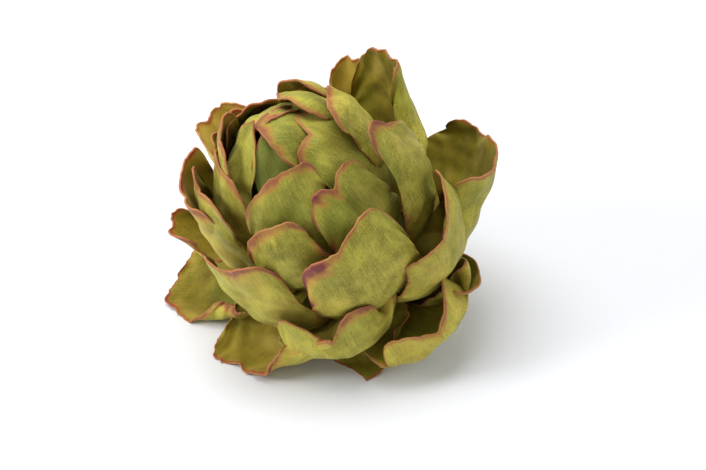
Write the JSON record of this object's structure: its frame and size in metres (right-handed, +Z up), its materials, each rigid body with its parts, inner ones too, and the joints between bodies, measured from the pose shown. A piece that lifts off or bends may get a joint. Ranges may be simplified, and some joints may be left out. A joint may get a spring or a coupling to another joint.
{
  "type": "artichoke",
  "caption": "Globe artichoke head, its outer bracts opened and rolled, lying tilted on its lower bracts and a short cut stem.",
  "frame": {"origin": "middle of the bounding box at floor level; the head lies on the plane z = 0", "axes": "+Z up; the bud leans 28 degrees from upright towards -X and -Y; +X towards the large open bract at the side"},
  "size_m": [0.1222, 0.1072, 0.101],
  "materials": {
    "bract": "matt, slightly downy skin"
  },
  "bodies": {
    "root": {"artichoke_head": "bract"}
  },
  "joints": []
}
